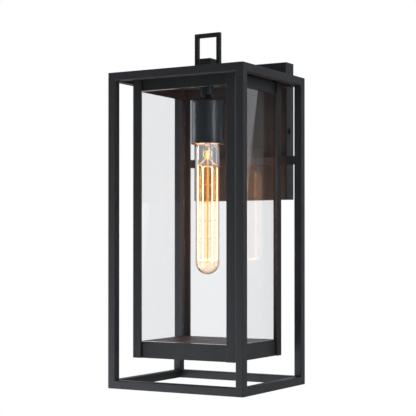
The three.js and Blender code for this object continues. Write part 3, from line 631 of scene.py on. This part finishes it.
def turned(profile, sides=LATHE_SIDES, place=None):
    """A closed (radius, level) section turned about Z. Points on the axis become one vertex."""
    shape = bmesh.new()
    rings = []
    for radius, level in profile:
        if radius < 1e-7:
            rings.append([shape.verts.new((0, 0, level))])
            continue
        ring = []
        for i in range(sides):
            angle = 2 * math.pi * i / sides
            ring.append(shape.verts.new((radius * math.cos(angle), radius * math.sin(angle), level)))
        rings.append(ring)
    closed = len(rings[0]) > 1 and len(rings[-1]) > 1
    pairs = list(zip(rings, rings[1:])) + ([(rings[-1], rings[0])] if closed else [])
    for a, b in pairs:
        if len(a) == 1 and len(b) == 1:
            continue
        for i in range(sides):
            j = (i + 1) % sides
            corners = [a[i % len(a)], a[j % len(a)], b[j % len(b)], b[i % len(b)]]
            shape.faces.new(list(dict.fromkeys(corners)))
    bmesh.ops.transform(shape, matrix=place or Matrix.Translation((AXIS.x, AXIS.y, 0)), verts=shape.verts)
    return shape


def wires(paths, radius):
    """Round wires along lists of points, with closed ends, as one shape."""
    data = bpy.data.curves.new("wire_path", "CURVE")
    data.dimensions = "3D"
    data.bevel_depth = radius
    data.bevel_resolution = WIRE_SIDES // 4 - 1
    data.use_fill_caps = True
    for points, cyclic in paths:
        spline = data.splines.new("NURBS")
        spline.points.add(len(points) - 1)
        for knot, point in zip(spline.points, points):
            knot.co = (*point, 1)
        spline.order_u = 3
        spline.use_endpoint_u = not cyclic
        spline.use_cyclic_u = cyclic
        spline.resolution_u = 4
    holder = bpy.data.objects.new("wire_path", data)
    bpy.context.scene.collection.objects.link(holder)
    bpy.context.view_layer.update()
    mesh = bpy.data.meshes.new_from_object(holder.evaluated_get(bpy.context.evaluated_depsgraph_get()))
    shape = bmesh.new()
    shape.from_mesh(mesh)
    bpy.data.objects.remove(holder)
    bpy.data.curves.remove(data)
    bpy.data.meshes.remove(mesh)
    bmesh.ops.remove_doubles(shape, verts=shape.verts, dist=1e-7)
    return shape


# ---- Welded outer frame ----

def frame_lattice(xs, ys, zs):
    """The twelve bars of a box frame as one closed shape, from its three lists of levels."""
    shape = bmesh.new()
    corners = {}

    def corner(i, j, k):
        if (i, j, k) not in corners:
            corners[i, j, k] = shape.verts.new((xs[i], ys[j], zs[k]))
        return corners[i, j, k]

    def is_bar(i, j, k):
        inside = all(0 <= n <= 2 for n in (i, j, k))
        return inside and sum(n == 1 for n in (i, j, k)) <= 1

    for i in range(3):
        for j in range(3):
            for k in range(3):
                if not is_bar(i, j, k):
                    continue
                for axis in range(3):
                    for step in (0, 1):
                        cell = [i, j, k]
                        cell[axis] += 2 * step - 1
                        if is_bar(*cell):
                            continue
                        quad = []
                        for a, b in ((0, 0), (1, 0), (1, 1), (0, 1)):
                            offset = [a, b]
                            offset.insert(axis, step)
                            quad.append(corner(i + offset[0], j + offset[1], k + offset[2]))
                        shape.faces.new(quad)
    return shape


def slice_of(whole, planes):
    """The part of a shape behind every (point, normal) plane, closed again."""
    part = whole.copy()
    for point, normal in planes:
        geometry = part.verts[:] + part.edges[:] + part.faces[:]
        bmesh.ops.bisect_plane(
            part, geom=geometry, dist=1e-7, plane_co=point, plane_no=normal, clear_outer=True,
        )
        rim = [e for e in part.edges if len(e.link_faces) == 1]
        bmesh.ops.holes_fill(part, edges=rim, sides=0)
    return part


def build_frame():
    """Square tube, welded and ground flush: rounded edges that run on from bar to bar."""
    front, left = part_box("top_rail_front"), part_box("top_rail_left")
    low = Vector((front[0].x, front[0].y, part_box("bottom_rail_front")[0].z))
    high = Vector((front[1].x, left[1].y, front[1].z))
    tube = front[1].z - front[0].z
    levels = [[low[n], low[n] + tube, high[n] - tube, high[n]] for n in range(3)]
    whole = frame_lattice(*levels)
    bmesh.ops.recalc_face_normals(whole, faces=whole.faces)
    round_edges(whole, TUBE_ROUNDING, 4)
    centre = (low + high) / 2
    up = Vector((0, 0, 1))
    top_cut = high.z - tube - WELD_CUT
    bottom_cut = low.z + tube + WELD_CUT
    for corner in CORNERS:
        side_x = 1 if "right" in corner else -1
        side_y = 1 if "rear" in corner else -1
        planes = [
            (Vector((0, 0, top_cut)), up),
            (Vector((0, 0, bottom_cut)), -up),
            (centre, Vector((-side_x, 0, 0))),
            (centre, Vector((0, -side_y, 0))),
        ]
        node = f"outer_post_{corner}"
        stand_for(f"{node}_finished", slice_of(whole, planes), node)
    ends = {
        "front": (Vector((0, -1, 0)), [Vector((low.x, low.y, 0)), Vector((high.x, low.y, 0))]),
        "right": (Vector((1, 0, 0)), [Vector((high.x, low.y, 0)), Vector((high.x, high.y, 0))]),
        "rear": (Vector((0, 1, 0)), [Vector((high.x, high.y, 0)), Vector((low.x, high.y, 0))]),
        "left": (Vector((-1, 0, 0)), [Vector((low.x, high.y, 0)), Vector((low.x, low.y, 0))]),
    }
    for level, edge, keep in (("top", top_cut, -up), ("bottom", bottom_cut, up)):
        for side in SIDES:
            out, (start, end) = ends[side]
            along = (end - start).normalized()
            planes = [
                (Vector((0, 0, edge)), keep),
                (start, -(along + out).normalized()),
                (end, (along - out).normalized()),
                (centre, -out),
            ]
            node = f"{level}_rail_{side}"
            stand_for(f"{node}_finished", slice_of(whole, planes), node)
    whole.free()
    refined("rear_crossbar", TUBE_ROUNDING, 4)


# ---- Cage, roof and glass ----

def build_cage():
    for corner in CORNERS:
        refined(f"cage_post_{corner}", CAGE_ROUNDING)
        refined(f"glazing_seal_{corner}", SEAL_ROUNDING, 2)
    for node in ("roof_pan", "ceiling_pan", "floor_tray"):
        refined(node, SHEET_ROUNDING)
    for side in SIDES:
        refined(f"glass_pane_{side}", GLASS_ARRIS, 2)


# ---- Finial ----

def build_finial():
    refined("finial_loop", FINIAL_ROUNDING, 4)
    refined("finial_block", FINIAL_ROUNDING, 4)
    refined("finial_stud", STUD_ROUNDING, 2, above=FACET_ABOVE)


# ---- Stem, cup and lampholder ----

def ring_section(inner, outer, low, high, edge):
    """A ring's section with its outer edges rounded."""
    return [
        (inner, low),
        *arc(outer - edge, low + edge, edge, -90, 0, 6),
        *arc(outer - edge, high - edge, edge, 0, 90, 6),
        (inner, high),
    ]


def thread(radius, depth, pitch, low, high):
    """Rounded thread ridges from a low level to a high one, as (radius, level) points."""
    turns = int((high - low) / pitch)
    points = []
    for i in range(turns * THREAD_STEPS + 1):
        phase = 2 * math.pi * i / THREAD_STEPS
        points.append((radius - depth * (1 - math.cos(phase)) / 2, low + pitch * i / THREAD_STEPS))
    return points


def build_holder():
    low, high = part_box("stem_collar")
    radius = (high.x - low.x) / 2
    nipple = (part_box("stem_nipple")[1].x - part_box("stem_nipple")[0].x) / 2
    stand_for(
        "stem_collar_finished",
        turned(ring_section(nipple + SEAT_GAP, radius, low.z, high.z, COLLAR_EDGE)),
        "stem_collar",
    )

    low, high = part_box("stem_nipple")
    threads = thread(nipple, NIPPLE_THREAD, NIPPLE_PITCH, low.z + NIPPLE_LAND, high.z - NIPPLE_LAND)
    bore = nipple - NIPPLE_WALL
    stud = turned([(bore, low.z), *threads, (bore, high.z)], SMALL_SIDES)
    stand_for("stem_nipple_finished", stud, "stem_nipple", material=MATERIALS["socket"])

    low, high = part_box("socket_cup")
    radius = (high.x - low.x) / 2
    hole = nipple + SEAT_GAP
    bend = (radius - CUP_EDGE, high.z - CUP_EDGE)
    cup = turned([
        (hole, high.z - CUP_WALL),
        *arc(*bend, CUP_EDGE - CUP_WALL, 90, 0),
        *arc(radius - CUP_WALL / 2, low.z + CUP_LIP, CUP_LIP, 180, 360, 8),
        *arc(*bend, CUP_EDGE, 0, 90),
        (hole, high.z),
    ])
    stand_for("socket_cup_finished", cup, "socket_cup")

    low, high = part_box("lampholder_body")
    radius = (high.x - low.x) / 2
    shell_low, shell_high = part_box("screw_shell")
    shell = (shell_high.x - shell_low.x) / 2
    bore = shell + SEAT_GAP
    roof = shell_high.z + SHELL_WALL
    body = turned([
        (0, roof),
        (bore, roof),
        *arc(bore + HOLDER_LIP, low.z + HOLDER_LIP, HOLDER_LIP, 180, 270, 5),
        *arc(radius - HOLDER_RIM, low.z + HOLDER_RIM, HOLDER_RIM, 270, 360, 5),
        *arc(radius - HOLDER_SHOULDER, high.z - HOLDER_SHOULDER, HOLDER_SHOULDER, 0, 90, 8),
        (0, high.z),
    ])
    stand_for("lampholder_body_finished", body, "lampholder_body")
    outside = thread(shell, LAMP_THREAD, LAMP_PITCH, shell_low.z + SHELL_WALL, shell_high.z - SHELL_WALL)
    inner = shell - SHELL_WALL
    inside = [(r - SHELL_WALL, z) for r, z in reversed(outside)]
    screw_shell = turned([(shell, shell_low.z), *outside, (shell, shell_high.z),
                          (inner, shell_high.z), *inside, (inner, shell_low.z)])
    stand_for("screw_shell_finished", screw_shell, "screw_shell")
    refined("centre_contact", CONTACT_ROUNDING, 2)
    refined("nipple_nut", NUT_ROUNDING, 2)


# ---- Bulb ----

def smooth_step(start, end, steps=12):
    """An S-shaped shoulder between two (radius, level) points, without its end points."""
    points = []
    for i in range(1, steps):
        t = i / steps
        ease = t * t * (3 - 2 * t)
        points.append((start[0] + (end[0] - start[0]) * ease, start[1] + (end[1] - start[1]) * t))
    return points


def build_bulb():
    low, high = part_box("bulb_glass")
    cap_low, cap_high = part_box("bulb_cap")
    radius = (high.x - low.x) / 2
    cap = (cap_high.x - cap_low.x) / 2
    neck = cap - NECK_INSET
    shoulder = cap_low.z - SHOULDER_DROP
    outside = [
        *arc(0, low.z + radius, radius, -90, 0, 24),
        (radius, shoulder - 2 * MM),
        *smooth_step((radius, shoulder), (neck, cap_low.z - 0.5 * MM)),
        (neck, cap_low.z - 0.5 * MM),
        (neck, high.z),
    ]
    inside = []
    for r, z in outside:
        lift = GLASS_WALL if z < low.z + radius / 2 else 0
        inside.append((max(r - GLASS_WALL, 0), z + lift))
    inside[0] = (0, low.z + GLASS_WALL)
    stand_for("bulb_glass_finished", turned(outside + inside[::-1]), "bulb_glass")

    ridges = thread(cap, LAMP_THREAD, LAMP_PITCH, cap_low.z + 3 * MM, cap_high.z - 2 * MM)
    inner = neck + SEAT_GAP
    skirt = turned([
        (inner, cap_low.z),
        *arc(cap - CAP_HEM, cap_low.z + CAP_HEM, CAP_HEM, -90, 0, 4),
        *ridges,
        (cap - 0.8 * MM, cap_high.z - 1 * MM),
        (CAP_LAND, cap_high.z),
        (CAP_LAND, cap_high.z - 0.5 * MM),
        (inner, cap_high.z - 2.2 * MM),
    ])
    stand_for("bulb_cap_finished", skirt, "bulb_cap")

    low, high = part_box("bulb_insulator")
    contact_low, contact_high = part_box("bulb_contact")
    insulator = (high.x - low.x) / 2
    nose = (contact_high.x - contact_low.x) / 2
    cone = [
        (0, low.z),
        (insulator, low.z),
        (insulator, low.z + 0.5 * MM),
        (nose + SEAT_GAP, high.z),
        (0, high.z),
    ]
    stand_for("bulb_insulator_finished", turned(cone), "bulb_insulator")
    button = [
        (0, contact_low.z),
        *arc(nose - BUTTON_EDGE, contact_low.z + BUTTON_EDGE, BUTTON_EDGE, -90, 45, 6),
        (nose * 0.6, contact_high.z - 0.1 * MM),
        (0, contact_high.z),
    ]
    stand_for("bulb_contact_finished", turned(button), "bulb_contact")


def around(radius, angle, level):
    """A point at a radius and an angle round the lantern's axis."""
    return Vector((AXIS.x + radius * math.cos(angle), AXIS.y + radius * math.sin(angle), level))


def build_bulb_stem():
    """Flared glass tube, pinched press, and the thin rod that carries the supports down to the bead."""
    low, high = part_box("bulb_stem")
    flare = (high.x - low.x) / 2
    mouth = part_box("socket_cup")[0].z
    press = mouth - PRESS_BELOW_CUP
    section = [
        (0, high.z - 8 * MM),
        *smooth_step((0.5 * MM, high.z - 8 * MM), (flare - GLASS_WALL, high.z), 8),
        (flare - GLASS_WALL, high.z),
        (flare, high.z),
        *smooth_step((flare, high.z), (3 * MM, high.z - 9 * MM), 10),
        (2.8 * MM, high.z - 10 * MM),
        (2.4 * MM, press + 3 * MM),
        *arc(0, press, PRESS, 55, -55, 12),
        (ROD, press - 4.5 * MM),
        (ROD, low.z + 5 * MM),
        *arc(0, low.z + BEAD + 0.2 * MM, BEAD, 60, -90, 12)[:-1],
        (0, low.z + 0.2 * MM),
    ]
    stem = turned(section, SMALL_SIDES)
    stand_for("bulb_stem_finished", stem, "bulb_stem", material=MATERIALS["stem_glass"])


def run_angle(run):
    """The angle of one upright run of the filament; halves fall between two runs."""
    return RUN_TURN + run / RUNS * 2 * math.pi


def build_filament():
    """One wire that runs down, under the bead and up the far side, and hooks over to the next pair."""
    low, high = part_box("bulb_filament")
    widest = max(math.cos(run_angle(run)) for run in range(RUNS))
    reach = (high.x - low.x - 2 * FILAMENT_WIRE) / 2 / widest
    top, bottom = high.z - FILAMENT_WIRE, low.z + FILAMENT_WIRE
    crossings = RUNS // 2
    path = []
    for crossing in range(crossings):
        sides = [run_angle(crossing), run_angle(crossing + RUNS / 2)]
        under = bottom + 1.5 * FILAMENT_WIRE * (2 * crossing - crossings + 1)
        if crossing % 2:
            sides.reverse()
        for down, angle in ((True, sides[0]), (False, sides[1])):
            heights = [top - 3 * MM + (under + 6 * MM - top) * i / 8 for i in range(9)]
            run = [around(reach, angle, level) for level in (heights if down else heights[::-1])]
            foot = [around(reach * 0.97, angle, under + 1.5 * MM), around(reach * 0.7, angle, under)]
            path.extend(run + foot if down else foot[::-1] + run)
        if crossing < crossings - 1:
            following = run_angle(crossing + 1 + (0 if crossing % 2 else RUNS / 2))
            for share in (0.25, 0.75):
                angle = sides[1] + (following - sides[1]) * share
                path.append(around(reach, angle, top))
    shape = wires([(path, False)], FILAMENT_WIRE)
    stand_for("bulb_filament_finished", shape, "bulb_filament")
    return reach, top, bottom


def build_supports(reach, top, bottom):
    """Top and bottom hooks, the loops at the press and the spokes that space the filament's runs."""
    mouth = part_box("socket_cup")[0].z
    press = mouth - PRESS_BELOW_CUP
    paths = []
    for run in range(RUNS):
        angle = run_angle(run + 0.5)
        end = top if run % 2 else bottom
        anchor = press - 4 * MM if run % 2 else bottom - 2 * MM
        paths.append(([around(0.8 * MM, angle, anchor), around(reach * 0.5, angle, (anchor + end) / 2),
                       around(reach - 0.3 * MM, angle, end)], False))
    for ring in range(SUPPORT_RINGS):
        level = top + (bottom - top) * (ring + 1.1) / (SUPPORT_RINGS + 1.3)
        for run in range(RUNS):
            angle = run_angle(run)
            paths.append(([around(0.8 * MM, angle, level), around(reach * 0.5, angle, level - 0.3 * MM),
                           around(reach - 0.2 * MM, angle, level)], False))
    for petal in range(LOOPS):
        angle = petal * 2 * math.pi / LOOPS + LOOP_TURN
        loop = []
        for i in range(LOOP_POINTS):
            phase = 2 * math.pi * i / LOOP_POINTS
            reached = LOOP_REACH + LOOP_WIDTH * math.cos(phase)
            loop.append(around(reached, angle, press + LOOP_HEIGHT * math.sin(phase)))
        paths.append((loop, True))
    shape = wires(paths, SUPPORT_WIRE)
    piece = add_piece("filament_supports", shape, ("bulb_stem",), material=MATERIALS["supports"])


def light_bulb(reach, top, bottom):
    """Warm light from the filament on the plate, the cup and the frame."""
    for share in FILAMENT_LIGHTS:
        data = bpy.data.lights.new("filament_light", "POINT")
        data.energy = FILAMENT_POWER
        data.color = EMBER
        data.shadow_soft_size = reach * 0.8
        light = bpy.data.objects.new("filament_light", data)
        bpy.context.scene.collection.objects.link(light)
        light.location = (AXIS.x, AXIS.y, top + (bottom - top) * share)
        light.visible_camera = False
        light.visible_transmission = False
        light.visible_glossy = False
        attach(light, "bulb")


# ---- Wall plate, strap, fasteners and leads ----

def build_wall_plate():
    refined("wall_plate", PLATE_ROUNDING, 2, above=BEND_ABOVE)
    refined("wall_gasket", GASKET_ROUNDING, 2)
    refined("mounting_strap", STRAP_ROUNDING)


def screw(node, axis):
    """A pan head with a cross recess on a threaded shank; axis points out of the head."""
    low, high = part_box(node)
    size = high - low
    along = max(range(3), key=lambda n: abs(axis[n]))
    others = [n for n in range(3) if n != along]
    radius = min(size[n] for n in others) / 2
    end = SCREW_HEAD - size[along]
    section = [
        (0, end),
        (SCREW_SHANK - 2 * SCREW_THREAD, end),
        *thread(SCREW_SHANK, SCREW_THREAD, SCREW_PITCH, end + 0.5 * MM, -0.1 * MM),
        (SCREW_SHANK - SCREW_THREAD, 0),
        (radius, 0),
        (radius, HEAD_RIM),
        *arc(radius - HEAD_EDGE, HEAD_RIM, HEAD_EDGE, 10, 90, 8),
        (0, SCREW_HEAD),
    ]
    turn = Vector(axis).to_track_quat("Z", "Y").to_matrix().to_4x4()
    seat = (low + high) / 2
    seat[along] = (high if axis[along] > 0 else low)[along] - axis[along] * SCREW_HEAD
    shape = turned(section, SMALL_SIDES, Matrix.Translation(seat) @ turn)
    piece = stand_for(f"{node}_finished", shape, node)
    cutter_shape = bmesh.new()
    for width, depth in ((RECESS_LENGTH, RECESS_WIDTH), (RECESS_WIDTH, RECESS_LENGTH)):
        bar = Matrix.Diagonal((width, depth, RECESS_DEPTH, 1))
        lift = Matrix.Translation((0, 0, SCREW_HEAD))
        bmesh.ops.create_cube(cutter_shape, size=1, matrix=Matrix.Translation(seat) @ turn @ lift @ bar)
    cutter_mesh = bpy.data.meshes.new("recess")
    cutter_shape.to_mesh(cutter_mesh)
    cutter_shape.free()
    cutter = bpy.data.objects.new("recess", cutter_mesh)
    bpy.context.scene.collection.objects.link(cutter)
    cut = piece.modifiers.new("recess", "BOOLEAN")
    cut.operation = "DIFFERENCE"
    cut.solver = "EXACT"
    cut.use_self = True
    cut.object = cutter
    while piece.modifiers[0] != cut:
        piece.modifiers.move(piece.modifiers.find("recess"), 0)
    bpy.context.view_layer.update()
    graph = bpy.context.evaluated_depsgraph_get()
    piece.modifiers["even_normals"].show_viewport = False
    result = bpy.data.meshes.new_from_object(piece.evaluated_get(graph))
    piece.modifiers.remove(cut)
    piece.modifiers["even_normals"].show_viewport = True
    piece.data = result
    bpy.data.objects.remove(cutter)
    return piece


def build_fasteners():
    screw("side_screw_left", Vector((-1, 0, 0)))
    screw("side_screw_right", Vector((1, 0, 0)))
    screw("plate_screw_left", Vector((0, 1, 0)))
    screw("plate_screw_right", Vector((0, 1, 0)))
    screw("ground_screw", Vector((0, -1, 0)))


def build_leads():
    """The two leads with their wire nuts, and the grommet that they pass through."""
    for name in ("live", "neutral"):
        refined(f"lead_{name}", 0)
        node = f"wire_nut_{name}"
        low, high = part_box(node)
        radius = (high.x - low.x) / 2
        tip = radius * NUT_TAPER
        section = [
            (0, low.z),
            *arc(tip - NUT_TIP, low.z + NUT_TIP, NUT_TIP, -90, 0, 6),
            (radius - 0.6 * MM, high.z - 5 * MM),
            *arc(radius - 0.5 * MM, high.z - 4 * MM, 0.5 * MM, -60, 60, 6),
            (radius - 0.3 * MM, high.z - 0.5 * MM),
            *arc(radius - 0.8 * MM, high.z - 0.4 * MM, 0.4 * MM, 0, 90, 5),
            (NUT_BORE, high.z),
            (NUT_BORE, high.z - NUT_BORE_DEPTH),
            (0, high.z - NUT_BORE_DEPTH),
        ]
        centre = (low + high) / 2
        shape = turned(section, SMALL_SIDES, Matrix.Translation((centre.x, centre.y, 0)))
        stand_for(f"{node}_finished", shape, node)
    refined("wire_grommet", SEAL_ROUNDING, 2, above=FACET_ABOVE)


# ---- The picture and the pieces ----

scene = bpy.context.scene
scene.view_settings.view_transform = "Standard"
scene.view_settings.look = "None"
add_camera()
add_world()
add_floor()
for softbox in SOFTBOXES:
    add_softbox(**softbox)

MATERIALS = make_materials()
for node, part in frame["nodes"].items():
    part.data.materials.clear()
    part.data.materials.append(MATERIALS[SLOT_OF[node]])

build_frame()
build_cage()
build_finial()
build_holder()
build_bulb()
build_bulb_stem()
cage_size = build_filament()
build_supports(*cage_size)
light_bulb(*cage_size)
build_wall_plate()
build_fasteners()
build_leads()
